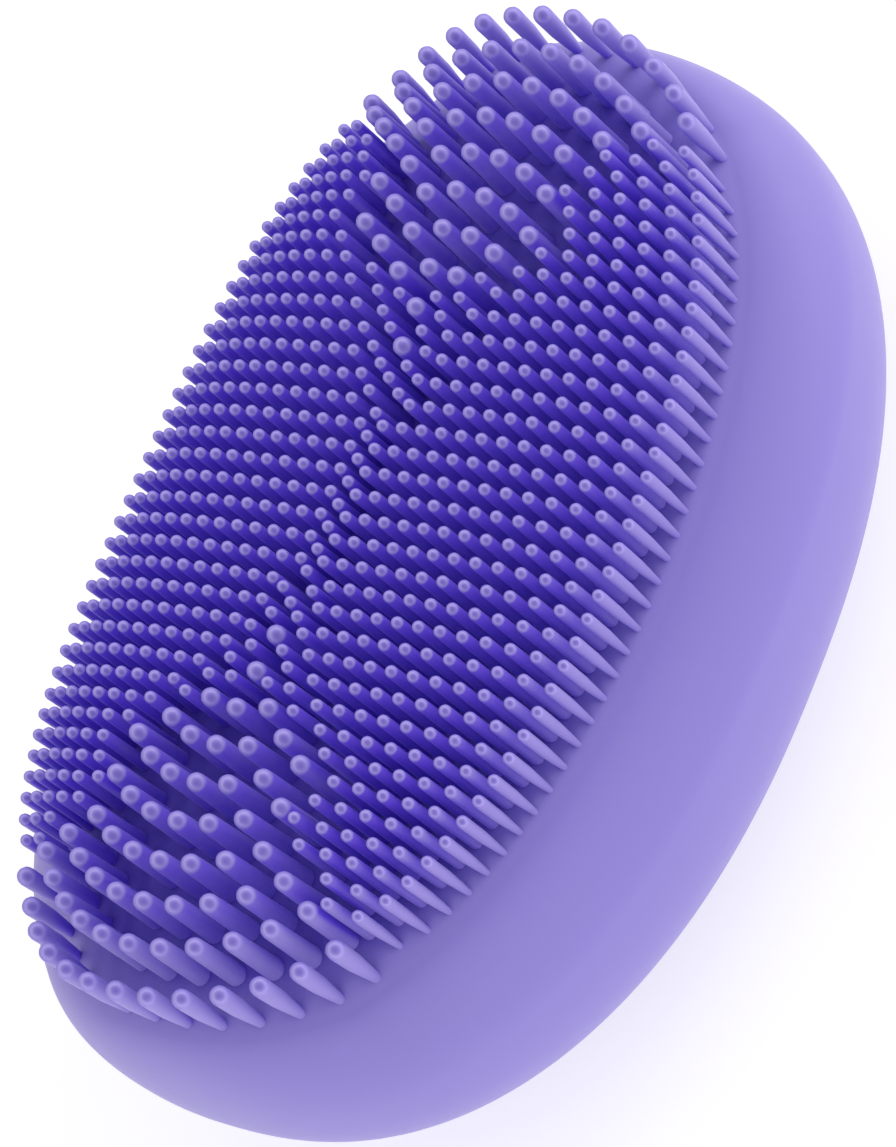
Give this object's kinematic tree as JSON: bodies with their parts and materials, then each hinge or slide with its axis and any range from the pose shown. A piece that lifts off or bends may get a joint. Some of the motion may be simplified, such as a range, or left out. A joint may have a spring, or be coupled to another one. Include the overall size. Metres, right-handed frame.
{
  "type": "facial cleansing brush",
  "caption": "Palm-size oval silicone facial cleansing brush with fine and thick soft bristles, a vibration motor, a push button on the back and a charging socket.",
  "frame": {"origin": "centre of the flat rest spot on the back cover, which is also the centre of the bottom of the bounding box", "axes": "+Z towards the bristle tips, +X across the width, +Y along the length towards the charging socket"},
  "size_m": [0.0612, 0.084, 0.031],
  "materials": {
    "silicone": "matte violet silicone, moulded in one with its bristles",
    "cover": "satin violet moulded plastic",
    "housing": "fine-textured white moulded plastic",
    "seal": "black moulded elastomer",
    "screws": "bright zinc-plated steel",
    "button": "satin pale violet plastic",
    "light_guide": "milky translucent plastic",
    "board": "green solder mask with copper pads",
    "dark_plastic": "black moulded plastic",
    "pale_plastic": "ivory moulded plastic",
    "led": "clear-topped small lamps",
    "cell_foil": "dull foil pouch",
    "foam": "dark open-cell foam",
    "red_lead": "red wire insulation",
    "motor_steel": "drawn plated steel",
    "bronze": "sintered bronze",
    "magnet": "dark sintered ferrite",
    "copper": "enamelled copper windings on steel laminations",
    "black_lead": "black wire insulation",
    "weight": "grey sintered heavy metal",
    "jack_metal": "bright nickel plate"
  },
  "bodies": {
    "shell": {"bristle_sleeve": "silicone", "rear_cover": "cover", "front_housing": "housing", "rear_housing": "housing", "housing_gasket": "seal", "housing_screws": "screws", "button_seal": "seal", "light_ring": "light_guide", "circuit_board": "board", "switch_body": "dark_plastic", "status_leds": "led", "control_chips": "dark_plastic", "board_screws": "screws", "battery_cell": "cell_foil", "battery_foam": "foam", "battery_leads": "red_lead", "motor_can": "motor_steel", "motor_end_cap": "pale_plastic", "motor_bushes": "bronze", "motor_magnets": "magnet", "motor_brushes": "magnet", "motor_terminals": "bronze", "motor_leads": "black_lead", "motor_boot": "seal", "motor_clamp": "housing", "clamp_screws": "screws", "jack_block": "dark_plastic", "jack_barrel": "jack_metal", "jack_contact": "bronze", "jack_seal": "seal"},
    "rotor": {"motor_shaft": "motor_steel", "motor_armature": "copper", "motor_commutator": "copper", "eccentric_weight": "weight"},
    "button": {"power_button": "button", "switch_plunger": "pale_plastic"}
  },
  "joints": [
    {"name": "motor_spin", "type": "hinge", "parent": "shell", "child": "rotor", "pos_m": [0, -0.01, 0.0116], "axis": [0, 1, 0], "continuous": true},
    {"name": "power_press", "type": "slide", "parent": "shell", "child": "button", "axis": [0, 0, 1], "range_m": [0, 0.0005]}
  ]
}
